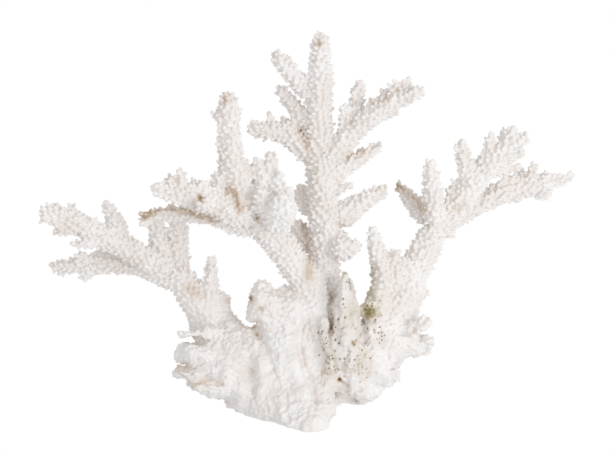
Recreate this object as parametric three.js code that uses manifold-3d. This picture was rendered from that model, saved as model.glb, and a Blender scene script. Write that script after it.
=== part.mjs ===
// Branching coral: a bleached staghorn colony, broken off and cut flat to stand on its foot.
//
// Units are millimetres. +Z is up, +X is to the right and -Y is the front. The origin is on the
// flat foot, under the middle of the colony.
//
// The limbs spread in a fan that leans back from the foot. They are laid out in the fan's own
// frame, x across, y deep (negative towards the front) and z up along the fan, and each finger is
// then leant back with it. A finger is a list of stations, [x, y, z, thickness], from its root,
// which is sunk in the limb that carries it, to its tip.

import * as THREE from "three";
import { mergeVertices } from "three/addons/utils/BufferGeometryUtils.js";
import Module from "manifold-3d";

const wasm = await Module();
wasm.setup();

// Driving dimensions
const lean = THREE.MathUtils.degToRad(15); // of the fan, back from upright
const forkGap = 0.3; // between two pieces that meet at a fork
const ringPitch = 21; // between the rings along a finger
const capRing = 0.3; // how far in from a rounded end its first ring lies, as a share of the radius
const bluntCap = 0.25; // how round a broken end is, beside a grown tip
const groundDepth = 60; // of the block that cuts the foot flat
const groundSpan = 400;

// A thick limb needs more corners round it than a twig does.
const cornerSteps = [
  { thickness: 24, corners: 8 },
  { thickness: 14, corners: 6 },
  { thickness: 0, corners: 5 },
];

// A finger whose end is broken off square, and one that is deeper than it is wide.
const broken = (stations) => Object.assign(stations, { cap: bluntCap });
const deep = (share, stations) => Object.assign(stations, { deep: share });

const base = [
  [[-14, -2, -14, 48], [-16, -11, 12, 48], [-16, -11, 32, 40], [-12, -10, 54, 29]], // middle
  [[4, -8, 14, 34], [4, -9, 32, 33], [3, -12, 48, 29], [3, -11, 62, 22], [4, -9, 76, 11]], // where the tall limbs part
  [[-24, 6, -10, 48], [0, 4, -10, 52], [20, 6, -8, 44]], // foot
  [[-12, -16, 12, 42], [-7, -28, 2, 31], [4, -49, -14, 13]], // nose at the front of the foot
  [[12, -12, 14, 34], [2, -28, 2, 19], [3, -46, -13, 10]], // its right side
  [[4, -14, 4, 26], [8, -18, 22, 24], [9, -17, 42, 18], [9.5, -15, 62, 11]], // behind the dead spire
  [[-52, -10, 27, 26], [-34, -14, 10, 28], [-18, -27, 0, 23], [0, -44, -11, 12]], // its left side
  [[-16, -12, 8, 52], [-42, -9, 25, 43], [-55, -5, 43, 27]], // left shoulder
  [[-4, -33, -9, 19], [-20, -25, -5, 19], [-35, -9, 1, 22], [-40, 4, -1, 16]], // edge of the foot
  [[4, -8, 6, 42], [22, -10, 18, 40], [40, -6, 36, 32], [48, -3, 50, 24]], // right shoulder
  [[8, 6, -10, 26], [21, 11, -5, 21], [25, 5, 12, 20]], // foot, right
  [[-12, 18, -12, 46], [-16, 20, 20, 42], [-24, 12, 42, 26]], // back left
  [[12, 18, -12, 38], [18, 14, 22, 38]], // back right
  deep(2.6, [[-46, -12, 40.5, 10], [-60, -16, 39.5, 7], [-71, -20, 38, 3.5]]), // plates on the left
  broken(deep(1.5, [[-44, -12, 27, 24], [-58, -16, 27.5, 15], [-69, -20, 29, 10]])),
  deep(2.2, [[-40, -18, 17, 18], [-58, -25, 18.5, 10], [-74, -32, 18.5, 5.5]]),
  deep(2.4, [[-34, -16, 9, 14], [-54, -27, 11.5, 8], [-67, -34, 12.5, 4.5]]),
  [[24, 0, 6, 16], [31.5, -4, 3, 6]], // spurs on the right
  broken([[26, -8, 15, 18], [38, -12, 16.5, 10], [49, -18, 15.5, 6.5]]),
  [[36, -2, 31, 23], [56, -5, 34, 12], [70, -8, 34, 6.5]],
  [[42, -8, 33, 16], [57, -13, 41, 8], [65.5, -16, 47.5, 4.5]],
  [[42, -6, 42, 15], [56, -10, 49.5, 5]],
  [[-22, 20, 18, 22], [-36, 42, 32, 8]], // fingers behind
  [[16, 20, 14, 22], [26, 42, 28, 8]],
  [[-2, 24, 18, 22], [-6, 48, 36, 8]],
];

const deadSpire = [
  [[24, -22, 14, 26], [21, -27, 34, 20], [18.5, -28, 52, 13], [18, -27, 64, 9.5], [18.5, -25, 74.5, 5]],
  deep(2, [[24, -18, 34, 8], [24, -17, 54, 6], [21.5, -17, 71, 4]]), // plate behind it
  [[12, -25, 16, 12], [9, -29, 34, 7], [7.5, -29, 48, 3.5]], // spine beside it
];

const brokenStub = [
  broken([[0, -10, 44, 30], [-14, -16, 52, 24], [-33, -22, 55, 18]]),
  [[-22, -17, 56, 16], [-28.5, -19, 67.5, 8.5]],
  [[-10, -12, 54, 16], [-16, -15, 65, 6]],
];

const tallLimb = [
  [
    [6, 4, 34, 26], [7, 2, 58, 20], [8, -2, 84, 17], [7, -6, 108, 17],
    [5.5, -10, 130, 16], [5, -14, 152, 14], [5.3, -18, 176, 14.5], [5.4, -21, 191, 13], [6.3, -22, 204, 7.5],
  ],
  [[2, -16, 167, 12], [-10, -19, 181, 11], [-20.5, -21, 192, 7.5]], // upper left finger
  [[-8, -18, 178, 7], [-13, -15, 192, 5]],
  [[3, -14, 150, 13], [-9, -11, 163, 10.5], [-18, -8, 174.5, 6]],
  [[8, -6, 84, 22], [19, -12, 85.5, 14], [28, -15, 88, 4.5]], // fingers on the right
  [[8, -5, 90, 14], [20.5, -8, 93, 5.5]],
  [[8, -4, 98, 20], [19, -2, 105.5, 15], [31, 0, 113, 11.5], [43, 3, 118.7, 5]],
  [[8, -8, 117, 8], [23.5, -12, 120, 4]],
  [[7, -10, 122, 15], [19, -8, 132, 11], [30, -5, 138, 9.5], [39.5, -3, 142.5, 4.5]],
  [[4, -8, 118, 9], [3.5, -22, 126, 6]], // front
  [[4, -1, 82, 17], [-9, 6, 100.5, 8]], // left, low down
  [[4, -4, 102, 17], [-6, 4, 120, 10]],
  [[7, 0, 68, 11], [4, 22, 86, 6]], // behind
  [[7, -3, 98, 10], [9, 16, 112, 5]],
  [[5, -9, 136, 9], [6, 8, 150, 5]],
  [[5, -14, 162, 8], [4, 0, 176, 5]],
];

const tallLeftArm = [
  [[5, -10, 131, 14], [-5, -11, 145, 14], [-15, -13, 149.5, 12.5], [-25, -15, 151, 10], [-34.5, -17, 150.5, 6]],
  [[-23, -15, 150, 6], [-21.3, -14, 160, 4.5]],
  [[-29, -15, 150, 5], [-30, -18, 156, 4]],
  [[-14, -13, 150, 7], [-14, -10, 158, 4.5]],
  [[-9, -12, 148, 8], [-10, -14, 157.5, 5]],
  [[-14, -10, 146, 8], [-19, 4, 150, 5]],
];

const tallRightArm = [
  [
    [6, -11, 130, 14], [16, -14, 142.5, 13.5], [27, -17, 152.5, 13],
    [40, -21, 163, 11.5], [52, -25, 168.5, 9], [63, -29, 171.3, 4.5],
  ],
  [[22, -15, 147, 11], [25.5, -13, 162, 9.5], [27, -11, 177.5, 8]],
  [[20, -14, 147, 8], [18.5, -18, 157, 6.5], [18, -21, 164.5, 4.5]],
  [[35, -18, 159, 8], [48.5, -13, 159.8, 4]],
  [[33, -18, 158, 8], [34.2, -22, 168, 4.5]],
  [[38, -20, 163, 8], [41.2, -17, 173.5, 4.5]],
  [[45, -22, 167, 7], [47.5, -24, 178.5, 4.5]],
  [[51, -24, 169, 7], [53.5, -22, 179, 4.5]],
  [[57, -26, 170, 5], [58.5, -29, 174.5, 4]],
  [[30, -14, 153, 9], [39, 0, 160, 5]],
];

const frontLimb = [
  [[5, -8, 42, 24], [-1, -13, 64, 17], [-11, -22, 81.5, 16.5], [-22, -30, 94, 17], [-32, -36, 106, 17]],
  [[-20, -34, 97, 20], [-16, -48, 105, 18], [-13, -60, 111, 12]], // thick finger towards the front
  [[-20, -36, 104, 18], [-11.5, -38, 120, 10]],
  [[-23, -34, 108, 12], [-15.5, -38, 127.5, 5]],
  [[-30, -36, 106, 16], [-26.5, -34, 124, 12], [-19, -31, 137.8, 7]],
  [[-28, -35, 120, 8], [-28.5, -38, 135, 5]],
  [[-26, -38, 104, 14], [-26, -53, 117, 8]],
  [[-17, -36, 98, 10], [-9.5, -34, 103.5, 5]],
  [[-24, -26, 94, 12], [-26, -8, 106, 6]], // behind
];

const frontUpright = [
  [[-34, -37, 98, 16], [-39, -40, 115, 16], [-43, -43, 138, 13.5], [-44.5, -46, 157, 14], [-43.5, -48, 170.5, 9]],
  [[-45, -45, 154, 6], [-53.5, -46, 160, 4]],
  [[-42, -46, 155, 6], [-37, -47, 161, 4]],
  [[-44, -40, 114, 12], [-48.5, -43, 130, 7]],
  [[-38, -40, 120, 12], [-34, -38, 133.5, 6]],
  [[-43, -42, 134, 8], [-41, -28, 144, 5]],
];

const frontLeftArm = [
  [[-30, -38, 99, 15], [-45, -44, 108.5, 17], [-58, -49, 112.5, 15.5], [-72, -54, 116, 13], [-86, -58, 118, 5.5]],
  [[-50, -46, 112, 10], [-50.5, -43, 128, 7]],
  [[-57, -48, 113, 9], [-57, -52, 123, 6]],
  [[-63, -50, 114, 8], [-63, -47, 124.5, 5]],
  [[-69, -53, 115, 8], [-69.5, -56, 128.8, 5]],
  [[-74, -54, 116, 8], [-75.5, -51, 126.5, 5.5]],
  [[-80, -57, 117, 6], [-81, -59, 120.5, 4.5]],
  [[-56, -49, 111, 10], [-59, -64, 109, 6]],
];

const frontLowArm = [
  [
    [-31, -33, 93, 9], [-46, -31, 100, 8], [-62, -28, 104, 9],
    [-77, -25, 105, 9.5], [-87, -23, 104.5, 6.5], [-93, -22, 104, 4.5],
  ],
  [[-84, -23, 104.5, 7], [-92, -27, 98, 4.5]],
  [[-78, -25, 105, 7], [-76, -22, 110.5, 4.5]],
];

const leftLimb = [
  [[-36, 0, 18, 30], [-53.5, -2, 43, 25], [-61, -5, 60, 18], [-77, -9, 73, 14.5]],
  [[-55, -5, 50, 15], [-55, -10, 66, 10.5], [-53.5, -13, 82, 4]], // spur
  [[-50, -5, 46, 13], [-46, -8, 61.5, 6]],
  [[-72, -4, 66, 14], [-74, -1, 84, 14], [-72, 2, 103, 11]], // risers behind the low arm
  [[-79, -6, 71, 15], [-84, -2, 88, 12], [-85, 2, 104, 8]],
  [[-60, -2, 52, 12], [-60, 18, 66, 6]],
];

const leftUpperArm = [
  [
    [-74, -9, 71, 12], [-90, -12, 80.5, 14], [-103, -15, 87, 13.5],
    [-116, -19, 94, 13], [-130, -24, 101, 12], [-146.5, -30, 107.5, 7],
  ],
  [[-101, -15, 88, 14], [-107.5, -12, 100, 10], [-111.5, -10, 111.5, 6]], // fingers, root to tip
  [[-117, -19, 96, 8], [-119, -24, 103, 5]],
  [[-106, -16, 89, 10], [-118, -22, 90.5, 6.5], [-130, -27, 87, 5]],
  [[-124, -20, 98, 8], [-125.5, -17, 105.5, 5]],
  [[-124, -21, 97, 8], [-140.5, -27, 94.3, 4.5]],
  [[-129, -23, 99, 8], [-130.5, -20, 110.8, 6]],
  [[-131, -24, 99, 7], [-140, -29, 98, 4.5]],
  [[-134, -24, 101, 9], [-140, -21, 110, 7]],
  [[-137, -26, 102, 8], [-147.5, -33, 101.5, 4.5]],
  [[-110, -15, 90, 9], [-115, 0, 95, 5]],
];

const leftLowerArm = [
  [[-70, -8, 65, 12], [-90, -5, 75, 11.5], [-107, 1, 78, 12], [-124, 4, 76.5, 12], [-143.8, 8, 75, 6]],
  [[-112, 2, 78, 8], [-117, 4, 86, 5]],
  [[-118, 3, 77, 10], [-129.5, -2, 82.5, 5.5]],
  [[-119, 3, 76, 9], [-126, 5, 67, 6]],
  [[-134, 6, 76, 8], [-139, 10, 71.3, 4.5]],
  [[-98, -1, 76, 8], [-99, 14, 79, 5]],
];

const rightLimb = [
  [[28, -2, 16, 30], [44.5, -2, 43, 27], [52, 0, 62, 19.5], [60.5, 3, 80, 16], [70, 8, 98, 15]],
  [[42, -5, 60, 17], [39, -12, 80, 13], [33, -18, 97.5, 5]], // front fingers
  [[47, -5, 62, 12], [46.5, -11, 77, 8], [46.5, -14, 86.5, 5.5]],
  [[53, -4, 68, 12], [52.5, -12, 82, 6]],
  [[40, -8, 40, 16], [36.5, -9, 58, 12], [38, -8, 76, 8]], // dead ridge on the left, and its knob
  [[39, -11, 44, 15], [32.5, -14, 51, 11], [28.5, -15, 54.5, 7]],
  [[50, 0, 58, 14], [66, 2, 61.8, 4.5]], // spurs on the right
  [[58, 3, 71, 9], [68.5, 6, 77, 5]],
  [[62, 4, 80, 9], [72.5, 7, 84, 4]],
  [[70, 8, 98, 10], [80, 11, 91.5, 4]],
  [[68, 6, 98, 14], [59, 12, 110, 11.5], [48, 19, 120.7, 5.5]], // the two fingers at the fork
  [[69, 5, 95, 14], [68, -2, 112, 12], [66, -7, 126, 11], [65, -9, 134.5, 5]],
  [[50, 4, 56, 12], [53, 24, 70, 6]], // behind
];

const rightLongArm = [
  [
    [67, 7, 93, 11.5], [84, 12, 105, 12], [97, 16, 112, 12], [111, 19, 117, 12],
    [125, 22, 120.5, 12], [137, 25, 123.5, 8.5], [147, 27, 125, 4.5],
  ],
  [[99, 16, 113, 8], [101.5, 20, 121.5, 5]],
  [[106, 18, 116, 8], [108.5, 15, 127, 5]],
  [[112, 19, 118, 8], [114, 16, 127, 5]],
  [[118, 20, 120, 8], [118, 25, 130, 5]],
  [[122, 21, 121, 8], [124, 20, 133.5, 4.5]],
  [[130, 23, 122, 8], [130.5, 27, 128, 5]],
  [[112, 19, 116, 8], [116.5, 22, 111.5, 5]],
  [[127, 22, 120, 14], [131, 18, 113, 9]],
];

const rightUpperArm = [
  [
    [67, 7, 93, 13], [80, 6, 109, 15.5], [90, 3, 121.5, 15.5],
    [99, 0, 134, 13.5], [109, -3, 143, 10.5], [121, -6, 147, 6],
  ],
  [[79, 6, 108, 10], [77, 1, 120, 6]],
  [[82, 6, 112, 10], [79.5, 1, 124.5, 5]],
  [[90, 3, 118, 14], [86, -4, 132, 10], [81.3, -9, 144.5, 6.5]],
  [[98, 0, 133, 8], [99, -4, 149, 5.5]],
  [[105, -2, 140, 8], [107.5, 1, 151.5, 5]],
  [[107, -3, 142, 11], [112.5, -7, 152, 7]],
  [[97, 0, 131, 11], [109, 5, 136.5, 6.5], [119, 9, 138, 4]],
  [[92, 3, 125, 11], [104, 10, 131.5, 7], [117, 16, 130, 4.5]],
];

// Each piece, after the pieces that carry it: where two meet, the later one is cut away.
const pieces = {
  base,
  left_limb: leftLimb,
  right_limb: rightLimb,
  tall_limb: tallLimb,
  front_limb: frontLimb,
  broken_stub: brokenStub,
  dead_spire: deadSpire,
  left_lower_arm: leftLowerArm,
  left_upper_arm: leftUpperArm,
  front_upright: frontUpright,
  front_left_arm: frontLeftArm,
  front_low_arm: frontLowArm,
  tall_left_arm: tallLeftArm,
  tall_right_arm: tallRightArm,
  right_long_arm: rightLongArm,
  right_upper_arm: rightUpperArm,
};

const coral = { color: 0xf0ebe5, roughness: 0.9, metalness: 0 };
const boredCoral = { color: 0xddd2c0, roughness: 0.95, metalness: 0 };
const materials = { dead_spire: boredCoral };

const solidOf = (geometry) => {
  geometry.deleteAttribute("normal");
  geometry.deleteAttribute("uv");
  const merged = mergeVertices(geometry);
  const corners = merged.index.array;
  const triVerts = [];
  for (let i = 0; i < corners.length; i += 3) {
    const [a, b, c] = corners.subarray(i, i + 3);
    if (a !== b && b !== c && c !== a) triVerts.push(a, b, c);
  }
  return new wasm.Manifold(
    new wasm.Mesh({
      numProp: 3,
      vertProperties: merged.attributes.position.array,
      triVerts: new Uint32Array(triVerts),
    }),
  );
};

// How far from the root each ring lies, and its radius, with the two ends rounded.
const ringsOf = (length, radiusAt, cap) => {
  const tipCap = radiusAt(length) * cap;
  const rootCap = radiusAt(0);
  const stem = length - tipCap - rootCap;
  const count = Math.max(1, Math.round(stem / ringPitch));
  const rings = [new THREE.Vector2(0, 0)];
  const ring = (reach, share = 1) => rings.push(new THREE.Vector2(radiusAt(reach) * share, reach));
  const capShare = Math.sqrt(1 - (1 - capRing) ** 2);
  for (let i = 0; i <= count; i++) ring(rootCap + (stem * i) / count);
  ring(length - tipCap * capRing, cap < 1 ? 1 - (1 - capShare) * cap : capShare);
  rings.push(new THREE.Vector2(0, length));
  return rings;
};

// One tapered, rounded finger through its stations, made straight and then bent along its curve.
const finger = (stations, extra) => {
  const points = stations.map(([x, y, z]) => new THREE.Vector3(x, y, z));
  const curve = new THREE.CatmullRomCurve3(points, false, "centripetal");
  const length = curve.getLength();
  const alongAt = (reach) => THREE.MathUtils.clamp(reach / length, 0, 1);
  const radiusAt = (reach) => {
    const place = curve.getUtoTmapping(alongAt(reach)) * (stations.length - 1);
    const low = Math.min(Math.floor(place), stations.length - 2);
    return THREE.MathUtils.lerp(stations[low][3], stations[low + 1][3], place - low) / 2;
  };
  const widest = Math.max(...stations.map((station) => station[3]));
  const { corners } = cornerSteps.find(({ thickness }) => widest >= thickness);
  const rings = ringsOf(length, radiusAt, stations.cap ?? 1);
  const geometry = new THREE.LatheGeometry(rings, corners);

  // The section's depth runs front to back, or across in a finger that points to the front.
  const run = points.at(-1).clone().sub(points[0]).normalize();
  const depthWay = Math.abs(run.y) < 0.8 ? new THREE.Vector3(0, 1, 0) : new THREE.Vector3(1, 0, 0);
  const position = geometry.attributes.position;
  const spot = new THREE.Vector3();
  for (let i = 0; i < position.count; i++) {
    spot.fromBufferAttribute(position, i);
    const along = alongAt(spot.y);
    const tangent = curve.getTangentAt(along);
    const side = tangent.clone().cross(depthWay).normalize();
    const depth = side.clone().cross(tangent);
    const radius = Math.hypot(spot.x, spot.z);
    const wider = radius > 0 ? 1 + extra / radius : 1;
    const past = radius > 0 ? 0 : Math.sign(spot.y - length / 2) * extra;
    const place = curve.getPointAt(along).addScaledVector(tangent, past);
    place.addScaledVector(side, spot.x * wider);
    place.addScaledVector(depth, spot.z * wider * (stations.deep ?? 1));
    position.setXYZ(i, place.x, place.y, place.z);
  }
  return solidOf(geometry.rotateX(-lean));
};

const limb = (fingers, extra = 0) =>
  fingers.map((stations) => finger(stations, extra)).reduce((whole, one) => whole.add(one));

const ground = solidOf(
  new THREE.BoxGeometry(groundSpan, groundSpan, groundDepth).translate(0, 0, -groundDepth / 2),
);

const geometryOf = (solid) => {
  const { vertProperties, triVerts } = solid.getMesh();
  return new THREE.BufferGeometry()
    .setAttribute("position", new THREE.BufferAttribute(vertProperties, 3))
    .setIndex(new THREE.BufferAttribute(triVerts, 1));
};

const colony = new THREE.Group();
let taken = ground; // the ground, and every earlier piece with the gap round it
for (const [name, fingers] of Object.entries(pieces)) {
  const parts = limb(fingers).subtract(taken).decompose();
  const solid = parts.reduce((a, b) => (a.volume() > b.volume() ? a : b));
  taken = taken.add(limb(fingers, forkGap));
  const material = new THREE.MeshStandardMaterial(materials[name] ?? coral);
  const mesh = new THREE.Mesh(geometryOf(solid), material);
  mesh.name = name;
  colony.add(mesh);
}

export default colony;
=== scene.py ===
import heapq
import math

import bpy
import numpy as np
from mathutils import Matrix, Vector, noise
from mathutils.bvhtree import BVHTree
from mathutils.kdtree import KDTree


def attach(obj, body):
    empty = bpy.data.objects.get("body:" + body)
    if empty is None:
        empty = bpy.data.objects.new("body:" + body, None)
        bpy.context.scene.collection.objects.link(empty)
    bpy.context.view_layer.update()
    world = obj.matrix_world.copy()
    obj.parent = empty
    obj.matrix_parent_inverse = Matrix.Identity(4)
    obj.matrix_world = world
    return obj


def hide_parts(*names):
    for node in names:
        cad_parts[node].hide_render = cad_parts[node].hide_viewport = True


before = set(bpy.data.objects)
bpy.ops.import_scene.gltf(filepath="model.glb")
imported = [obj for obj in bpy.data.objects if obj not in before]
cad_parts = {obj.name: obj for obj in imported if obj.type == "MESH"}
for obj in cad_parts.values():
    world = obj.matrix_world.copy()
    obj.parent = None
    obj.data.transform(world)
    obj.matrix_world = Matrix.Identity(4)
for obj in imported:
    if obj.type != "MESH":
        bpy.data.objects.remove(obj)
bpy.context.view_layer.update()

# A bleached staghorn coral. The limbs are fused into a smooth core, which is sculpted, and
# knobs grow over it. All of that becomes one skin, which is cut at the forks again.
#
# Lengths below are in mm. Places are in the colony's own fan: x across, y deep (negative is
# nearer) and z up the fan, which leans back from the flat foot. A soft line is given as its
# points across the fan (x, z), its width and its strength.
colony = {
    "lean": 15.0,  # degrees back from upright
    "inflate": 0.25,  # closes the gaps at the forks
    "coreVoxel": 0.9,
    "skinVoxel": 0.48,
    "triangles": 900000,  # in all
    "seed": 11,
}
lean = math.radians(colony["lean"])
draws = np.random.RandomState(colony["seed"])


def shares(least, more, *shape):
    # random shares, between least and least + more
    return least + more * draws.rand(*shape)


# Small mesh tools.
def leant(points, angle):
    x, y, z = np.asarray(points, float).T
    deep = y * math.cos(angle) + z * math.sin(angle)
    high = z * math.cos(angle) - y * math.sin(angle)
    return np.stack([x, deep, high], 1)


def toFrame(points):
    return leant(points, lean)


def toFan(points):
    return leant(points, -lean)


def unit(vectors):
    return vectors / np.maximum(np.linalg.norm(vectors, axis=1, keepdims=True), 1e-9)


def smoothStep(low, high, values):
    t = np.clip((values - low) / (high - low), 0, 1)
    return t * t * (3 - 2 * t)


def awayFrom(places, points):
    # distance across the fan, x and z only, from a line through the points
    flat = places[:, [0, 2]]
    best = np.full(len(flat), 1e9)
    points = np.array(points if len(points) > 1 else points * 2, float)
    for start, end in zip(points[:-1], points[1:]):
        run = end - start
        t = np.clip(((flat - start) @ run) / max(run @ run, 1e-9), 0, 1)[:, None]
        best = np.minimum(best, np.linalg.norm(flat - start - run * t, axis=1))
    return best


def lined(places, lines):
    # the sum of soft lines
    total = np.zeros(len(places))
    for points, width, strength in lines:
        total += strength * np.exp(-1.8 * (awayFrom(places, points) / width) ** 2)
    return total


def noisePlaces(places, size, stretch, shift):
    # where the noise is read, drawn out up the fan by stretch
    scale = np.array([1 / size, 1 / size, 1 / (size * stretch)])
    return [Vector(p) for p in (toFan(places) * scale + shift).tolist()]


def rough(places, size, detail=2, stretch=1.0):
    # fractal noise
    return np.array([noise.fractal(p, 1.0, 2.0, detail) for p in noisePlaces(places, size, stretch, 31.7)])


def creased(places, size, stretch):
    # crisp folds and flats, from -0.5 to 0.5
    folds = [noise.noise(p) for p in noisePlaces(places, size, stretch, 12.3)]
    return 0.5 - np.minimum(1.0, 1.9 * np.abs(folds))


def treeOf(points):
    tree = KDTree(len(points))
    for i, p in enumerate(points.tolist()):
        tree.insert(p, i)
    tree.balance()
    return tree


def nearestIn(tree, points):
    # the number of the nearest point, and how far off it is
    hits = [tree.find(p) for p in points.tolist()]
    return np.array([h[1] for h in hits]), np.array([h[2] for h in hits])


def meshOf(name, places, faces):
    corners = faces.shape[1]
    mesh = bpy.data.meshes.new(name)
    mesh.vertices.add(len(places))
    mesh.vertices.foreach_set("co", places.astype(np.float32).ravel())
    mesh.loops.add(faces.size)
    mesh.loops.foreach_set("vertex_index", faces.astype(np.int32).ravel())
    mesh.polygons.add(len(faces))
    mesh.polygons.foreach_set("loop_start", np.arange(0, faces.size, corners, dtype=np.int32))
    mesh.update(calc_edges=True)
    return mesh


def trianglesOf(mesh):
    mesh.calc_loop_triangles()
    places = np.empty(len(mesh.vertices) * 3, np.float32)
    mesh.vertices.foreach_get("co", places)
    triangles = np.empty(len(mesh.loop_triangles) * 3, np.int32)
    mesh.loop_triangles.foreach_get("vertices", triangles)
    return places.reshape(-1, 3).astype(float), triangles.reshape(-1, 3)


def normalsOf(places, faces):
    last = faces[:, 3] if faces.shape[1] == 4 else faces[:, 0]
    across = places[faces[:, 2]] - places[faces[:, 0]]
    along = places[last] - places[faces[:, 1]]
    faceNormals = np.cross(across, along)
    total = np.zeros_like(places)
    for corner in faces.T:
        for axis in range(3):
            total[:, axis] += np.bincount(corner, faceNormals[:, axis], len(places))
    return unit(total)


def edgesOf(faces):
    pairs = np.concatenate([np.stack([faces[:, i], faces[:, i - 1]], 1) for i in range(faces.shape[1])])
    pairs.sort(axis=1)
    keys = np.unique(pairs[:, 0].astype(np.int64) << 32 | pairs[:, 1])
    return np.stack([keys >> 32, keys & 0xFFFFFFFF], 1)


def spreadOver(values, edges, rounds, share=0.5):
    # each vertex moves part of the way to its neighbours' mean
    a, b = edges.T
    count = np.bincount(a, minlength=len(values)) + np.bincount(b, minlength=len(values))
    count = np.maximum(count, 1)
    for _ in range(rounds):
        mean = np.empty_like(values)
        columns = values.reshape(len(values), -1)
        out = mean.reshape(len(values), -1)
        for i in range(columns.shape[1]):
            column = columns[:, i]
            out[:, i] = np.bincount(a, column[b], len(values)) + np.bincount(b, column[a], len(values))
            out[:, i] /= count
        values = values + (mean - values) * share
    return values


def modified(name, places, faces, kind, **settings):
    # the mesh that one modifier makes of places and faces
    holder = bpy.data.objects.new(name, meshOf(name, places, faces))
    bpy.context.scene.collection.objects.link(holder)
    modifier = holder.modifiers.new(name, kind)
    for setting, value in settings.items():
        setattr(modifier, setting, value)
    made = holder.evaluated_get(bpy.context.evaluated_depsgraph_get()).data
    out = np.empty(len(made.vertices) * 3, np.float32)
    made.vertices.foreach_get("co", out)
    corners = np.empty(len(made.loops), np.int32)
    made.loops.foreach_get("vertex_index", corners)
    sides = len(made.loops) // len(made.polygons)
    mesh = holder.data
    bpy.data.objects.remove(holder)
    bpy.data.meshes.remove(mesh)
    return out.reshape(-1, 3).astype(float), corners.reshape(-1, sides)


def voxelSkin(name, places, triangles, voxel):
    return modified(name, places, triangles, "REMESH", mode="VOXEL", voxel_size=voxel)


def halved(quads):
    return np.concatenate([quads[:, [0, 1, 2]], quads[:, [0, 2, 3]]])


def islandsOf(count, edges):
    # a number for each vertex, the same wherever edges join them
    label = np.arange(count)
    while True:
        lower = np.minimum(label[edges[:, 0]], label[edges[:, 1]])
        after = label.copy()
        np.minimum.at(after, edges[:, 0], lower)
        np.minimum.at(after, edges[:, 1], lower)
        after = after[after]
        if (after == label).all():
            return label
        label = after


def largestIsland(places, faces):
    # drops the faces that aren't joined to the most of them
    label = islandsOf(len(places), edgesOf(faces))
    counts = np.bincount(label[faces[:, 0]])
    faces = faces[label[faces[:, 0]] == counts.argmax()]
    used, index = np.unique(faces, return_inverse=True)
    return places[used], index.reshape(faces.shape)


# The core: every limb, fused into one skin.
print("core: fusing the limbs")
allPlaces, allTriangles, nodeOfTriangle, count = [], [], [], 0
nodeNames = sorted(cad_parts)
for number, name in enumerate(nodeNames):
    places, triangles = trianglesOf(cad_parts[name].data)
    allPlaces.append(places * 1000)
    allTriangles.append(triangles + count)
    nodeOfTriangle += [number] * len(triangles)
    count += len(places)
cadPlaces, cadTriangles = np.concatenate(allPlaces), np.concatenate(allTriangles)
nodeOfTriangle = np.array(nodeOfTriangle)
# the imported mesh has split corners, so they are welded before the normals are taken
rounded = np.round(cadPlaces, 2)
_, firstOf, weld = np.unique(rounded, axis=0, return_index=True, return_inverse=True)
weldedTriangles = weld.reshape(-1)[cadTriangles]
welded = cadPlaces[firstOf]
swollen = welded + normalsOf(welded, weldedTriangles) * colony["inflate"]
core, coreFaces = largestIsland(*voxelSkin("core", swollen, weldedTriangles, colony["coreVoxel"]))
coreEdges = edgesOf(coreFaces)
core = spreadOver(core, coreEdges, 5)
cadTree = BVHTree.FromPolygons(cadPlaces.tolist(), cadTriangles.tolist())
coreNode = nodeOfTriangle[[cadTree.find_nearest(p)[2] for p in core.tolist()]]
votes = (coreNode[:, None] == np.arange(len(nodeNames))).astype(float)
coreNode = spreadOver(votes, coreEdges, 12).argmax(1)  # so that the forks run clean
print("core:", len(core), "vertices")


def isNode(nodes, *names):
    return np.isin(nodes, [nodeNames.index(name) for name in names])


# The base is one broken mass, so its lumps are blended. Its plates and spurs stay thin.
blend = {
    "rounds": 60,
    "share": 0.6,
    "left": -45,
    "right": 40,
    "foot": (0.5, 6.0),  # the heights over which it sets in
    "facet": [([(-10, 20), (-5, 5)], 11, 1.0)],  # one broad flat on its front
    "facetDepth": (-8, -16),  # over which the flat sets in
    "facetPull": 1.6,
    "facetRounds": 260,
}
fanCore = toFan(core)
thick = isNode(coreNode, "base") & (fanCore[:, 0] > blend["left"]) & (fanCore[:, 0] < blend["right"])
offFoot = smoothStep(*blend["foot"], core[:, 2])
mass = spreadOver(thick.astype(float), coreEdges, 10) * offFoot
facet = lined(fanCore, blend["facet"]) * smoothStep(*blend["facetDepth"], fanCore[:, 1]) * offFoot
facet = np.clip(facet * blend["facetPull"], 0, 1)
for pull, rounds in ((mass, blend["rounds"]), (facet, blend["facetRounds"])):
    inside = np.nonzero(pull > 0.01)[0]
    within = np.full(len(core), -1)
    within[inside] = np.arange(len(inside))
    ownEdges = within[coreEdges]
    ownEdges = ownEdges[(ownEdges >= 0).all(1)]
    soft = spreadOver(core[inside], ownEdges, rounds, blend["share"])
    core[inside] += (soft - core[inside]) * pull[inside][:, None]
coreNormals = normalsOf(core, coreFaces)
fanCore = toFan(core)

# How much of the knobs is left, where 1 is all of them. They fade away towards the foot.
life = {
    "bare": 24.0,  # height up the fan with none
    "whole": 80.0,  # and with all of them
    "stub": 0.6,  # share on the broken stub
    "drawnIn": 0.5,  # so that the knobs end about where the limb does
}
knobbed = smoothStep(life["bare"], life["whole"], fanCore[:, 2])
knobbed[isNode(coreNode, "broken_stub")] *= life["stub"]
knobbed = spreadOver(knobbed, coreEdges, 20, 0.6)
core = core - coreNormals * (life["drawnIn"] * knobbed)[:, None]

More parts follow.
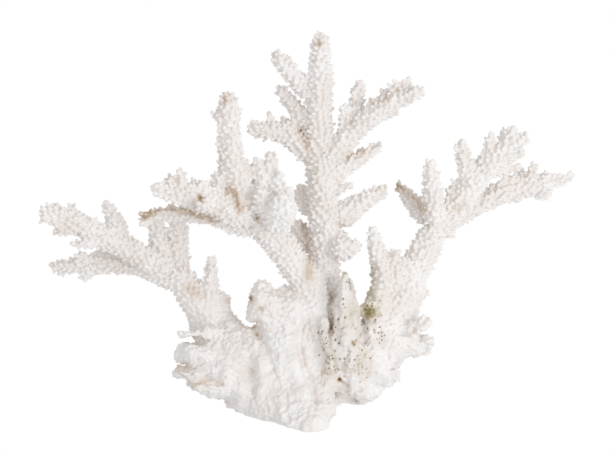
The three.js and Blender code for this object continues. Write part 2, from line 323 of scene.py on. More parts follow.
# The dead parts, which are bored through and have no knobs.
bored = {
    "parts": [
        ([(20, 14), (20, 45), (19, 78)], 10, 1.5),
        ([(10, 22), (9, 42)], 6, 1.2),
        ([(29, 16), (26, 36)], 8, 1.2),
        ([(33, 50), (36, 60)], 8, 1.1),
        ([(38, 38)], 6, 1.0),
    ],
    "behind": (-10.0, -4.0),  # the depths over which it ends
}
boredCore = np.clip(lined(fanCore, bored["parts"]), 0, 1)
boredCore *= isNode(coreNode, "base", "right_limb", "dead_spire")
boredCore *= 1 - smoothStep(*bored["behind"], fanCore[:, 1])
boredCore = np.maximum(boredCore, isNode(coreNode, "dead_spire"))
boredCore = spreadOver(boredCore, coreEdges, 6)
knobbed = knobbed * (1 - boredCore)
plain = 1 - smoothStep(0.15, 0.75, knobbed)

# Folds, ridges and holes on the front of the low parts.
sculpt = {
    "folds": [  # their strength is a height in mm, as for the flutes and holes
        ([(-5, 32), (-3, 22), (1, 12), (4, 5)], 2.8, -3.6),
        ([(3, 30), (6, 18), (9, 8)], 6.5, -3.4),
        ([(-29, 42), (-26, 34), (-21, 22)], 4.5, -2.8),
        ([(-13, 3.5), (-2, 5.5), (13, 3)], 1.6, -0.7),
        ([(-49, 32), (-43, 24), (-31, 19)], 3.5, -2.0),
        ([(-20, 20), (-17, 12), (-13, 2)], 2.4, -1.3),
        ([(-33, 30), (-31, 8)], 2.5, -0.8),
        ([(-24, 43), (-12, 40), (-3, 44)], 3.5, -1.2),
        ([(-63, 36), (-73, 36)], 1.5, -1.8),
        ([(-70, 13), (-58, 14.5), (-48, 13)], 1.6, -2.2),
        ([(-27, 24), (-27, 12), (-23, -2)], 5, 1.8),
        ([(-9, 26), (-7, 14), (-4, 6)], 5.5, 3.0),
        ([(10, 20), (9, 11)], 3.5, 1.1),
        ([(-45, 44), (-40, 36), (-37, 30)], 3.5, 1.5),
        ([(-39, 15), (-38, 2)], 5.5, 2.2),
        ([(-31, 10), (-30, 5)], 1.6, -1.5),
        ([(-74, 23), (-66, 21), (-60, 18), (-50, 19)], 1.5, -2.2),
        ([(-56, 35.5)], 4, 2.4),
        ([(-9, 3.5), (2, 4.5)], 1.2, -1.2),
        ([(-37, 40), (-37.5, 33)], 1.4, -1.2),
        ([(34, 30), (36, 18)], 5, 1.4),
    ],
    "flutes": [
        ([(12.5, 72), (11.3, 58), (11, 44), (10.5, 34)], 1.2, -2.4),
        ([(16, 68), (14.5, 50), (15.5, 34)], 1.8, -1.2),
        ([(21, 69), (21.5, 52), (23.5, 38)], 2.2, -1.6),
        ([(18.5, 72), (18, 54), (19, 34)], 2, 0.9),
        ([(7.5, 47), (8.5, 34), (11, 22)], 2, 0.8),
        ([(20, 34), (18, 20)], 2.4, -1.7),
        ([(28, 42), (31, 30), (30, 15)], 2.6, -2.4),
        ([(25, 33), (25.5, 20)], 2.2, -1.0),
        ([(16, 14.5), (21, 11)], 1.0, -1.0),
        ([(35, 76), (34, 60)], 2.2, -1.2),
        ([(30, 53), (36, 50)], 2.2, -1.6),
        ([(28, 48), (33, 45)], 1.8, -1.2),
    ],
    "holes": [
        ([(23.5, 34.5)], 1.9, -3.0),
        ([(16, 14.5)], 1.7, -2.2),
        ([(22.5, 28.5)], 1.3, -2.0),
        ([(-32.5, 58)], 2.2, -2.2),
        ([(-27, 53)], 1.8, -1.8),
        ([(-29, 38.5)], 1.8, -2.5),
        ([(-59, 113)], 2.8, -2.6),
        ([(3.5, 8)], 3.5, -1.4),
    ],
    "lumps": (1.5, 13.0),  # height and size
    "creases": (2.6, 19.0, 1.6),  # height, size and stretch
    "crust": (1.3, 3.6, 1.15),
    "chips": (3.4, 5.5),  # of the broken edges: height and size
    "chipped": [
        ([(-72, 9), (-73, 22), (-71, 36), (-70, 46)], 6, 1.0),
        ([(-60, 8), (-47, 1), (-30, -8), (-4, -14)], 4, 0.8),
        ([(12, -4), (33, 3), (50, 14), (68, 33), (62, 48)], 5, 1.0),
    ],
    "strands": (1.5, 2.6, 5.0),  # of the dead parts: height, size and stretch
    "calm": [([(-9, 24), (-5, 8)], 7, 0.6), ([(-24, 26), (-22, 8)], 5, 0.4), ([(2, -8)], 9, 0.5)],
    "foot": (0.0, 1.4),  # the heights over which the shaping sets in
}
front = toFan(coreNormals)[:, 1] < 0.3
low = isNode(coreNode, "base", "dead_spire", "broken_stub", "left_limb", "right_limb")
move = lined(fanCore, sculpt["folds"] + sculpt["flutes"]) * (front & low)
move += lined(fanCore, sculpt["holes"]) * front
bare = plain > 0.02
height, size = sculpt["lumps"]
move[bare] += plain[bare] * height * rough(core[bare], size, 3)
height, size, stretch = sculpt["creases"]
move[bare] += plain[bare] * height * creased(core[bare], size, stretch)
height, size, stretch = sculpt["crust"]
crust = rough(core[bare], size, 4, stretch)
calm = 1 - lined(fanCore, sculpt["calm"]) * front
move[bare] += (plain * calm)[bare] * height * (0.5 - np.abs(crust) * 1.6)
dead = boredCore > 0.05
height, size, stretch = sculpt["strands"]
move[dead] += boredCore[dead] * height * rough(core[dead], size, 3, stretch)
chipped = lined(fanCore, sculpt["chipped"]) * low
edges = np.nonzero(chipped > 0.05)[0]
height, size = sculpt["chips"]
move[edges] += chipped[edges] * height * rough(core[edges], size, 3)
shift = coreNormals * move[:, None]
shift[:, 2] *= smoothStep(*sculpt["foot"], core[:, 2])  # the foot stays flat
core = spreadOver(core + shift, coreEdges, 1, 0.3)
core[:, 2] = np.maximum(core[:, 2], 0)
coreNormals = normalsOf(core, coreFaces)
fanCore = toFan(core)

# How shut in each place is, felt with rays.
print("core: feeling how shut in it is")
feel = {
    "rays": 14,
    "reach": 34.0,
    "every": 3,  # only every third place is felt
    "clear": 0.6,  # of the surface, where a ray starts
}
coreTree = BVHTree.FromPolygons(core.tolist(), coreFaces.tolist())
ways = unit(draws.randn(feel["rays"] * 4, 3))
felt, counted = np.zeros(len(core)), np.zeros(len(core))
begins = (core + coreNormals * feel["clear"]).tolist()
for i in range(0, len(core), feel["every"]):
    begin = Vector(begins[i])
    hits = 0.0
    for way in ways[draws.randint(0, len(ways), feel["rays"])]:
        far = coreTree.ray_cast(begin, Vector(way + coreNormals[i] * 1.02), feel["reach"])[3]
        if far is not None:
            hits += 1 - 0.6 * far / feel["reach"]
    felt[i], counted[i] = hits / feel["rays"], 1.0
felt, counted = spreadOver(felt, coreEdges, 5, 0.7), spreadOver(counted, coreEdges, 5, 0.7)
shut = felt / np.maximum(counted, 1e-6)

# How far each place has grown from the foot, over the surface.
a, b = coreEdges.T
froms, tos = np.concatenate([a, b]), np.concatenate([b, a])
byFrom = np.argsort(froms, kind="stable")
froms, tos = froms[byFrom], tos[byFrom]
lengths = np.linalg.norm(core[tos] - core[froms], axis=1)
firsts = np.searchsorted(froms, np.arange(len(core) + 1))
toList, lengthList, firstList = tos.tolist(), lengths.tolist(), firsts.tolist()
reach = [math.inf] * len(core)
queue = []
for i in np.nonzero(core[:, 2] < 1.5)[0].tolist():
    reach[i] = 0.0
    queue.append((0.0, i))
heapq.heapify(queue)
while queue:
    far, i = heapq.heappop(queue)
    if far > reach[i]:
        continue
    for k in range(firstList[i], firstList[i + 1]):
        there = far + lengthList[k]
        j = toList[k]
        if there < reach[j]:
            reach[j] = there
            heapq.heappush(queue, (there, j))
reach = np.array(reach)
loose = ~np.isfinite(reach)
print("core: grown", round(float(reach[~loose].max())), "mm,", int(loose.sum()), "loose")
reach[loose] = 0
reach = spreadOver(reach, coreEdges, 3)
step = core[b] - core[a]
slope = (reach[b] - reach[a])[:, None] * (step / np.maximum(np.linalg.norm(step, axis=1), 1e-6)[:, None] ** 2)
growth = [np.bincount(a, slope[:, i], len(core)) + np.bincount(b, slope[:, i], len(core)) for i in range(3)]
growth = unit(spreadOver(unit(np.stack(growth, 1)), coreEdges, 12))

# The knobs, each tilted towards the tip of its finger.
knobs = {
    "pitch": 2.55,  # between neighbours
    "pitches": (0.93, 0.14),  # shares of it: the least, and how much more the most is
    "wider": 0.25,  # how much further apart they stand where they fade away
    "tries": 1.9,  # to a square millimetre
    "shuffle": 6.0,  # how far the order in which they are set strays from the order of growth
    "cell": 3.2,  # of the grid that finds neighbours
    "foot": 1.5,  # none stands lower
    "faded": 0.08,  # nor where less of them is left
    "length": 1.7,
    "lengths": (0.75, 0.5),
    "long": 0.09,  # the share of them that is longer
    "longer": (1.4, 0.6),
    "radius": 1.08,
    "radii": (0.88, 0.2),
    "tilt": 0.85,  # towards the tip, beside 1 outwards
    "tilts": (0.6, 0.8),
    "wander": 0.24,  # of the tilt, to any side
    "sunk": 0.5,  # of the core under them
    "clear": 3.2,  # ahead of a knob, before the finger beside it makes it shorter
    "apart": 1.1,  # what is left between the two
    "least": 0.25,  # length
}

print("knobs: scattering")
across = core[coreFaces[:, 2]] - core[coreFaces[:, 0]]
along = core[coreFaces[:, 3]] - core[coreFaces[:, 1]]
tries = draws.poisson(np.linalg.norm(np.cross(across, along), axis=1) / 2 * knobs["tries"])
owner = np.repeat(np.arange(len(coreFaces)), tries)
u, v = draws.rand(2, len(owner))
weights = np.stack([(1 - u) * (1 - v), u * (1 - v), u * v, (1 - u) * v], 1)


def atSpots(values):
    picked = values[coreFaces[owner]]
    return (picked * (weights if values.ndim == 1 else weights[:, :, None])).sum(1)


spots, spotNormals, spotGrowth = atSpots(core), unit(atSpots(coreNormals)), unit(atSpots(growth))
spotKnobbed, spotReach = atSpots(knobbed), atSpots(reach)
pitch = knobs["pitch"] * (1 + knobs["wider"] - knobs["wider"] * spotKnobbed)
pitch = pitch * shares(*knobs["pitches"], len(owner))
order = np.argsort(spotReach + draws.rand(len(owner)) * knobs["shuffle"])
cells, kept = {}, []
spotList, pitchList, knobbedList = spots.tolist(), pitch.tolist(), spotKnobbed.tolist()
around = [(i, j, k) for i in (-1, 0, 1) for j in (-1, 0, 1) for k in (-1, 0, 1)]


def isClear(spot, cell):
    # whether the knobs already set leave this one its pitch
    x, y, z = spotList[spot]
    for i, j, k in around:
        for other in cells.get((cell[0] + i, cell[1] + j, cell[2] + k), ()):
            ox, oy, oz = spotList[other]
            gap = 0.5 * (pitchList[spot] + pitchList[other])
            if (ox - x) ** 2 + (oy - y) ** 2 + (oz - z) ** 2 < gap ** 2:
                return False
    return True


for spot in order.tolist():
    if spotList[spot][2] < knobs["foot"] or knobbedList[spot] < knobs["faded"]:
        continue
    cell = tuple(int(place // knobs["cell"]) for place in spotList[spot])
    if isClear(spot, cell):
        cells.setdefault(cell, []).append(spot)
        kept.append(spot)
kept = np.array(kept)
print("knobs:", len(kept))

knobPlaces, knobNormals, knobLife = spots[kept], spotNormals[kept], spotKnobbed[kept]
onward = spotGrowth[kept] * knobs["tilt"] * shares(*knobs["tilts"], len(kept), 1)
knobAxis = unit(knobNormals + onward + draws.randn(len(kept), 3) * knobs["wander"])
knobLength = knobs["length"] * shares(*knobs["lengths"], len(kept)) * (0.25 + 0.75 * knobLife)
isLong = (draws.rand(len(kept)) < knobs["long"]) & (knobLife > 0.9)
knobLength = np.where(isLong, knobLength * shares(*knobs["longer"], len(kept)), knobLength)
knobRadius = pitch[kept] * knobs["radius"] / knobs["pitch"] * shares(*knobs["radii"], len(kept))
knobRadius = np.where(knobLife < 0.5, knobRadius * 0.85, knobRadius)
# a knob stops short of the finger beside it
for i in range(len(kept)):
    begin = Vector(knobPlaces[i] + knobNormals[i] * 0.4)
    far = coreTree.ray_cast(begin, Vector(knobAxis[i]), knobLength[i] + knobs["clear"])[3]
    if far is not None:
        knobLength[i] = max(knobs["least"], min(knobLength[i], (far - knobs["apart"]) / 2))

# the larger knob that ends each finger
tip = {
    "grown": 35.0,  # at least this far from the foot
    "left": 0.15,
    "sunk": 0.4,
    "wander": 0.1,
    "lengths": (1.9, 0.6),
    "radii": (1.4, 0.3),
}
peak = reach.copy()
for _ in range(5):
    higher = np.maximum(peak[a], peak[b])
    np.maximum.at(peak, a, higher)
    np.maximum.at(peak, b, higher)
tips = np.nonzero((reach >= peak - 1e-9) & (reach > tip["grown"]) & (knobbed > tip["left"]))[0]
print("knobs:", len(tips), "tips")
knobPlaces = np.concatenate([knobPlaces, core[tips] - coreNormals[tips] * tip["sunk"]])
knobAxis = np.concatenate([knobAxis, unit(coreNormals[tips] + draws.randn(len(tips), 3) * tip["wander"])])
knobLength = np.concatenate([knobLength, shares(*tip["lengths"], len(tips))])
knobRadius = np.concatenate([knobRadius, shares(*tip["radii"], len(tips))])

# the shape of one knob
sides = 7
# radius, and height: below the surface in mm, above it as a share of the length
profile = [(0.85, -0.9), (1.0, 0.1), (0.88, 0.5), (0.68, 0.85), (0.3, 1.0)]
turns = [2 * math.pi * i / sides for i in range(sides)]
ring = np.array([(math.cos(turn), math.sin(turn)) for turn in turns])
helper = np.where(np.abs(knobAxis[:, 2:3]) < 0.9, [[0.0, 0.0, 1.0]], [[1.0, 0.0, 0.0]])
knobSide = unit(np.cross(knobAxis, helper))
knobOther = np.cross(knobAxis, knobSide)
rings = []
for wide, high in profile:
    raised = np.where(high < 0, high, high * knobLength)[:, None, None]
    circle = ring[None, :, 0:1] * knobSide[:, None] + ring[None, :, 1:2] * knobOther[:, None]
    outward = circle * (wide * knobRadius)[:, None, None]
    rings.append(knobPlaces[:, None] + outward + knobAxis[:, None] * raised)
rings.append((knobPlaces + knobAxis * profile[0][1])[:, None])
rings.append((knobPlaces + knobAxis * (knobLength * 1.02)[:, None])[:, None])
knobCorners = np.concatenate(rings, 1)
perKnob = knobCorners.shape[1]
facesOfKnob = []
for level in range(len(profile) - 1):
    for i in range(sides):
        p, q = level * sides + i, level * sides + (i + 1) % sides
        facesOfKnob += [(p, q, q + sides), (p, q + sides, p + sides)]
bottom, top = perKnob - 2, perKnob - 1
last = (len(profile) - 1) * sides
for i in range(sides):
    facesOfKnob += [(bottom, (i + 1) % sides, i), (top, last + i, last + (i + 1) % sides)]
firstCorners = np.arange(len(knobPlaces)) * perKnob
knobFaces = (np.array(facesOfKnob)[None] + firstCorners[:, None, None]).reshape(-1, 3)

# One skin over the core and its knobs.
print("skin: fusing the knobs")
sunk = core - coreNormals * (knobs["sunk"] * smoothStep(0.2, 0.9, knobbed))[:, None]
joined = np.concatenate([sunk, knobCorners.reshape(-1, 3)])
joinedFaces = np.concatenate([halved(coreFaces), knobFaces + len(sunk)])
skin, skinFaces = voxelSkin("skin", joined, joinedFaces, colony["skinVoxel"])
skin = spreadOver(skin, edgesOf(skinFaces), 1, 0.35)
print("skin: thinning", len(skinFaces), "quads")
share = colony["triangles"] / (2 * len(skinFaces))
skin, skinFaces = largestIsland(*modified("skin", skin, halved(skinFaces), "DECIMATE", ratio=share))
skinNormals = normalsOf(skin, skinFaces)
print("skin:", len(skinFaces), "triangles")

# What each place of the skin is like.
sunkTree = BVHTree.FromPolygons(sunk.tolist(), coreFaces.tolist())
found = [sunkTree.find_nearest(p) for p in skin.tolist()]
raised = np.array([hit[3] for hit in found])
under = coreFaces[[hit[2] for hit in found], 0]
skinNode, skinKnobbed, skinBored = coreNode[under], knobbed[under], boredCore[under]
skinShut, skinPlain = shut[under], plain[under]
crest = np.clip(raised / (0.35 + 1.15 * skinKnobbed), 0, 1)  # how far up a knob

# The small cup in the end of each knob.
cup = {
    "width": 0.62,  # as a share of the knob's radius
    "depth": 0.32,
    "least": 0.8,  # a shorter knob has none
}
nearest, away = nearestIn(treeOf(knobPlaces + knobAxis * knobLength[:, None]), skin)
cupped = np.clip(1 - away / (cup["width"] * knobRadius[nearest]), 0, 1) * (knobLength[nearest] > cup["least"])
skin = skin - knobAxis[nearest] * (cupped * cup["depth"])[:, None]

# Fine crumbs on the bare skeleton.
crumbs = {"height": 0.85, "size": 1.35, "stretch": 1.3}
bareSkin = np.nonzero((skinPlain > 0.1) & (skin[:, 2] > 1))[0]
crumb = rough(skin[bareSkin], crumbs["size"], 2, crumbs["stretch"])
crumb = crumb * (skinPlain * calm[under])[bareSkin] * crumbs["height"]
skin[bareSkin] += skinNormals[bareSkin] * crumb[:, None]

# Holes bored in the dead parts, a few listed and the rest in clusters.
print("skin: boring the dead parts")
pores = {
    "placed": [  # x, z and radius
        (19, 73, 0.8), (20.3, 74.2, 0.6), (18.5, 59, 0.75), (19.2, 55, 0.6), (19, 48, 0.8), (15, 34.5, 0.8),
        (7, 30, 0.8), (13, 25, 0.9), (8, 25, 0.7), (12.5, 30, 0.6), (10, 27.5, 0.6), (11.5, 39, 0.6),
        (4.5, 40, 0.6), (17.5, 43, 0.5), (22.5, 28.5, 0.7), (28, 9.5, 0.6), (39, 41, 0.6), (37, 37, 0.5),
    ],
    "clusters": [  # points across the fan, width and the most that there are
        ([(10, 23), (9, 38)], 6, 46), ([(12, 40), (12, 66)], 2.5, 20), ([(29, 16), (28, 26)], 5, 24),
        ([(19, 40), (19, 70)], 5, 12), ([(33, 50)], 6, 26),
        ([(39, 40)], 4, 16), ([(20, 20), (24, 34)], 7, 20),
    ],
    "radius": (0.28, 0.6),
    "apart": 1.5,
    "depth": 1.2,
}
fanSkin = toFan(skin)
skinFacing = toFan(skinNormals)[:, 1]
seenDead = np.nonzero((skinBored > 0.3) & (skinFacing < 0.0) & (skin[:, 2] > 2))[0]
flat = fanSkin[seenDead][:, [0, 2]]
holes, sizes = [], []
for x, z, radius in pores["placed"]:
    away = np.linalg.norm(flat - (x, z), axis=1)
    about = seenDead[away < away.min() + 0.6]
    holes.append(skin[about[fanSkin[about, 1].argmin()]])
    sizes.append(radius)
least, most = pores["radius"]
for points, width, count in pores["clusters"]:
    likely = lined(fanSkin[seenDead], [(points, width, 1)])
    for i in draws.choice(seenDead, count * 3, p=likely / likely.sum()).tolist()[:count]:
        if np.min(np.linalg.norm(np.array(holes) - skin[i], axis=1)) > pores["apart"]:
            holes.append(skin[i])
            sizes.append(least + (most - least) * draws.rand())
holes, sizes = np.array(holes), np.array(sizes)
deadSkin = np.nonzero(skinBored > 0.15)[0]
which, away = nearestIn(treeOf(holes), skin[deadSkin])
pore = np.zeros(len(skin))
pore[deadSkin] = np.clip(1.3 - away / sizes[which], 0, 1)
skin = skin - skinNormals * (pore * pores["depth"])[:, None]
print("skin:", len(holes), "bored holes")

# Stains and painted shade: 0 is bleached white and 1 the darkest brown. The ground tone, the clouds, the dead
# parts and some marks are the coral's own stains. The crevices, the shut-in places, the sides facing up and
# back, the cups, the holes and most other marks are painted shade, and two marks paint light. Moss turns the
# brown to olive.
stainsAndShade = {
    "ground": 0.02,
    "creviceShade": 0.1,
    "shutInShade": 0.22,
    # painted shade on the sides that face up and back
    "upwardShade": 0.1,
    "upwardShadeFrom": (-0.35, 0.35, 0.87),  # up and back
    "broad": 0.06,  # of the clouds over the whole
    "broadSize": 16.0,
    "cupShade": 0.06,
    "dead": 0.05,
    "speckle": (0.75, 0.5),  # of the marks
    # soft marks on the front: the coral's own stains, painted shade in holes, gaps and folds, and painted
    # light, as said below
    "marks": [
        # painted shadow of the limb above on the top of the low arm, and painted shade in a gap between knobs
        ([(-92, 103), (-78, 108), (-62, 105), (-52, 101)], 3.5, 0.32), ([(-59, 113)], 3.2, 0.5),
        ([(-44, 118), (-40, 114), (-38, 106)], 3, 0.32),
        ([(-28.5, 102)], 1.5, 0.45), ([(-27, 91)], 1.5, 0.35),
        ([(-46, 168), (-45, 165)], 2.5, 0.25), ([(5, 197.5)], 2.4, 0.45), ([(3, 188)], 3.5, 0.18),
        ([(-19, 191)], 4.5, 0.22), ([(-5, 150), (-2, 141)], 3.5, 0.2), ([(22, 155)], 3, 0.25),
        ([(25, 165)], 2.5, 0.16), ([(34, 165)], 3, 0.16), ([(41, 166)], 3, 0.2), ([(47.5, 172)], 2, 0.25),
        # first, painted shade in the gap between a twig and a finger
        ([(17, 134), (22, 138), (28, 140)], 3, 0.2), ([(-5, 118), (-3, 108)], 5, 0.14),
        # painted shade along the trunk's left edge, and along a finger at the right, partly brown stain and
        # partly painted shade on its top edge
        ([(-3, 96), (0, 80), (-1, 70)], 3.5, 0.26), ([(48, 120), (55, 115), (62, 106)], 4.5, 0.28),
        ([(48.5, 120)], 3.5, 0.2), ([(-61, 60), (-66, 64)], 4.5, 0.2), ([(-46, 57)], 3, 0.26),
        ([(-146, 101)], 3.5, 0.16), ([(-137, 95)], 3.5, 0.16), ([(-107, 82), (-92, 78)], 2.5, 0.1),
        # second, painted shade in the groove under the white streak on the lower plate
        ([(80, 107), (86, 110)], 3, 0.16), ([(-66, 9.5), (-60, 13), (-53, 14.5), (-46, 11)], 1.6, 0.26),
        # first, painted shade on the left end of the plate, then a brown line along its top
        ([(-71, 20)], 4, 0.16), ([(-74, 22), (-68, 22), (-62, 20)], 1.4, 0.2),
        ([(54, 38), (60, 43), (65, 48)], 1.6, 0.3), ([(53, 49)], 4, 0.12),
        # painted shade in two holes
        ([(-32.5, 58.5)], 2.3, 0.6), ([(-27, 53)], 2.6, 0.3),
        # the second is painted shade in the hole at an axil
        ([(-30, 46)], 3, 0.2), ([(-29, 38.5)], 1.6, 0.6),
        # a brown dash, then painted shade in a hole
        ([(3, -1)], 1.3, 0.24), ([(28, 9)], 1.5, 0.35),
        # painted shade in a hole and in the groove that runs from it
        ([(16, 14.5)], 1.4, 0.7), ([(16, 14), (21, 11)], 0.9, 0.28),
        # painted shade in a hole, in the slit beside the spire and round the holes near its top
        ([(23.5, 34.5)], 2, 0.6), ([(11.3, 62), (11, 42)], 1.0, 0.3), ([(19, 74)], 2.5, 0.2),
        # painted shade on the shadowed edge of the right ridge and in a fold of the base
        ([(34, 76), (33, 60)], 3, 0.2), ([(-4, 31), (-2, 21)], 1.3, 0.22),
        ([(-20, 20), (-17, 15)], 0.9, 0.18),
        # painted shade in a recess of the base, then painted light that lifts the shade beside the spire and
        # on the front cluster
        ([(8, 15)], 7, 0.1), ([(7, 72), (6, 48)], 5, -0.14), ([(-20, 118), (-14, 108)], 12, -0.1),
        ([(33, 51)], 5.5, 0.5), ([(31, 48), (30, 54)], 2.5, 0.2), ([(8, 30)], 6, 0.07),
    ],
    "moss": [([(34, 76), (33, 60)], 4, 0.8), ([(33, 52)], 6, 1), ([(9, 48), (8, 62)], 2, 0.6)],
}
onFront = smoothStep(-0.45, -0.1, -skinFacing)
up = skinNormals @ np.array(stainsAndShade["upwardShadeFrom"])
broad = spreadOver(rough(core, stainsAndShade["broadSize"]), coreEdges, 1)
broad = np.clip(broad[under] * 2.5, -1, 1)
# the ground tone, and painted shade low in the crevices between the knobs
stainAndShade = stainsAndShade["ground"] + stainsAndShade["creviceShade"] * (1 - crest) ** 1.5 * (0.3 + 0.7 * skinKnobbed)
# painted shade where rays find the coral close around, in the forks and between the limbs
stainAndShade += stainsAndShade["shutInShade"] * smoothStep(0.3, 0.85, skinShut) * (1 - 0.6 * skinBored)
# painted shade on the sides that face up and back
stainAndShade += stainsAndShade["upwardShade"] * smoothStep(0.1, 0.9, up)
# clouds of the coral's own tone, and painted shade in the cups at the ends of the knobs
stainAndShade += stainsAndShade["broad"] * broad + cupped * stainsAndShade["cupShade"]
stainAndShade += skinBored * stainsAndShade["dead"] * (1 + broad)
stainAndShade += lined(fanSkin, stainsAndShade["marks"]) * onFront * shares(*stainsAndShade["speckle"], len(skin))
# the holes bored in the dead parts are painted dark, as painted shade inside them
stainAndShade = np.clip(np.maximum(stainAndShade, pore), 0, 1)
moss = np.clip(lined(fanSkin, stainsAndShade["moss"]), 0, 1) * onFront


# Finishes.
def link(tree, source, target):
    tree.links.new(source, target)


def addNode(tree, kind, **values):
    node = tree.nodes.new("ShaderNode" + kind)
    for name, value in values.items():
        node.inputs[name].default_value = value
    return node


def grainGroup():
    # the fine grain of the skeleton: it tints a colour and gives a height and a roughness
    group = bpy.data.node_groups.new("skeletonGrain", "ShaderNodeTree")
    face = group.interface
    face.new_socket("Colour", in_out="INPUT", socket_type="NodeSocketColor")
    face.new_socket("Grains per Metre", in_out="INPUT", socket_type="NodeSocketFloat").default_value = 1500
    face.new_socket("Tint", in_out="INPUT", socket_type="NodeSocketFloat").default_value = 0.06
    face.new_socket("Colour", in_out="OUTPUT", socket_type="NodeSocketColor")
    face.new_socket("Height", in_out="OUTPUT", socket_type="NodeSocketFloat")
    face.new_socket("Roughness", in_out="OUTPUT", socket_type="NodeSocketFloat")
    given, out = group.nodes.new("NodeGroupInput"), group.nodes.new("NodeGroupOutput")
    where = addNode(group, "TexCoord")
    fine = addNode(group, "TexNoise", Detail=3.0)
    cells = addNode(group, "TexVoronoi")
    for texture in (fine, cells):
        link(group, where.outputs["Object"], texture.inputs["Vector"])
        link(group, given.outputs["Grains per Metre"], texture.inputs["Scale"])
    spread = addNode(group, "MapRange", **{"From Min": 0.3, "From Max": 0.7, "To Min": 1.0, "To Max": 0.0})
    link(group, fine.outputs["Fac"], spread.inputs["Value"])
    loss = addNode(group, "Math")
    loss.operation = "MULTIPLY"
    link(group, spread.outputs[0], loss.inputs[0])
    link(group, given.outputs["Tint"], loss.inputs[1])
    keep = addNode(group, "Math")
    keep.operation = "SUBTRACT"
    keep.inputs[0].default_value = 1.0
    link(group, loss.outputs[0], keep.inputs[1])
    tinted = addNode(group, "VectorMath")
    tinted.operation = "SCALE"
    link(group, given.outputs["Colour"], tinted.inputs[0])
    link(group, keep.outputs[0], tinted.inputs["Scale"])
    tall = addNode(group, "Math")
    link(group, fine.outputs["Fac"], tall.inputs[0])
    link(group, cells.outputs["Distance"], tall.inputs[1])
    dull = addNode(group, "MapRange", **{"To Min": 0.72, "To Max": 0.95})
    link(group, fine.outputs["Fac"], dull.inputs["Value"])
    link(group, tinted.outputs[0], out.inputs["Colour"])
    link(group, tall.outputs[0], out.inputs["Height"])
    link(group, dull.outputs[0], out.inputs["Roughness"])
    return group


grain = grainGroup()


def rampOf(tree, stops, factor):
    ramp = addNode(tree, "ValToRGB")
    elements = ramp.color_ramp.elements
    while len(elements) < len(stops):
        elements.new(0.5)
    for element, (position, colour) in zip(elements, stops):
        element.position, element.color = position, (*colour, 1)
    link(tree, factor, ramp.inputs["Fac"])
    return ramp.outputs["Color"]


def coralMaterial(name, look):
    material = bpy.data.materials.new(name)
    material.use_nodes = True
    tree = material.node_tree
    shader = tree.nodes["Principled BSDF"]
    shader.inputs["Specular IOR Level"].default_value = 0.25
    stainAndShadeIn, mossIn = addNode(tree, "Attribute"), addNode(tree, "Attribute")
    stainAndShadeIn.attribute_name, mossIn.attribute_name = "stainAndShade", "moss"
    mix = addNode(tree, "Mix")
    mix.data_type = "RGBA"
    brown = rampOf(tree, look["brown"], stainAndShadeIn.outputs["Fac"])
    olive = rampOf(tree, look["olive"], stainAndShadeIn.outputs["Fac"])
    link(tree, mossIn.outputs["Fac"], mix.inputs["Factor"])
    link(tree, brown, mix.inputs[6])
    link(tree, olive, mix.inputs[7])
    texture = addNode(tree, "Group")
    texture.node_tree = grain
    texture.inputs["Grains per Metre"].default_value = look["grains"]
    texture.inputs["Tint"].default_value = look["tint"]
    bump = addNode(tree, "Bump", Strength=look["relief"], Distance=0.0002)
    link(tree, mix.outputs[2], texture.inputs["Colour"])
    link(tree, texture.outputs["Colour"], shader.inputs["Base Color"])
    link(tree, texture.outputs["Roughness"], shader.inputs["Roughness"])
    link(tree, texture.outputs["Height"], bump.inputs["Height"])
    link(tree, bump.outputs["Normal"], shader.inputs["Normal"])
    return material


bleachedLook = {
    "brown": [
        (0.0, (0.935, 0.912, 0.90)), (0.18, (0.87, 0.82, 0.785)), (0.38, (0.74, 0.64, 0.55)),
        (0.62, (0.45, 0.31, 0.18)), (1.0, (0.07, 0.045, 0.03)),
    ],
    "olive": [
        (0.0, (0.92, 0.90, 0.86)), (0.18, (0.80, 0.77, 0.66)), (0.38, (0.56, 0.52, 0.34)),
        (0.62, (0.28, 0.25, 0.12)), (1.0, (0.05, 0.04, 0.025)),
    ],
    "grains": 1500,
    "tint": 0.05,
    "relief": 0.35,
}
boredLook = bleachedLook | {
    "brown": [
        (0.0, (0.92, 0.89, 0.865)), (0.18, (0.84, 0.79, 0.73)), (0.38, (0.68, 0.58, 0.46)),
        (0.62, (0.40, 0.28, 0.16)), (1.0, (0.05, 0.032, 0.022)),
    ],
    "grains": 1100,
    "tint": 0.12,
    "relief": 0.6,
}
bleached = coralMaterial("bleachedCoral", bleachedLook)
boredThrough = coralMaterial("boredCoral", boredLook)

# The skin, cut at the forks into its pieces.
cut = {
    "depth": 1.5,  # of the closed ends, under the surface
    "neck": 4.5,  # radius of a cut that is closed straight across
    "smallest": 400,  # faces in a patch that stays with its own limb
}


def votesFor(counted):
    # how many corners beside each face belong to each limb
    votes = np.zeros((len(skinFaces), len(nodeNames)), np.float32)
    for number in range(len(nodeNames)):
        at = np.bincount(skinFaces[counted & (faceNode == number)].ravel(), minlength=len(skin))
        votes[:, number] = at[skinFaces].sum(1)
    return votes


print("pieces: cutting at the forks")
faceNode = skinNode[skinFaces[:, 0]]
for _ in range(4):  # so that the cuts run clean
    faceNode = votesFor(np.ones(len(skinFaces), bool)).argmax(1)

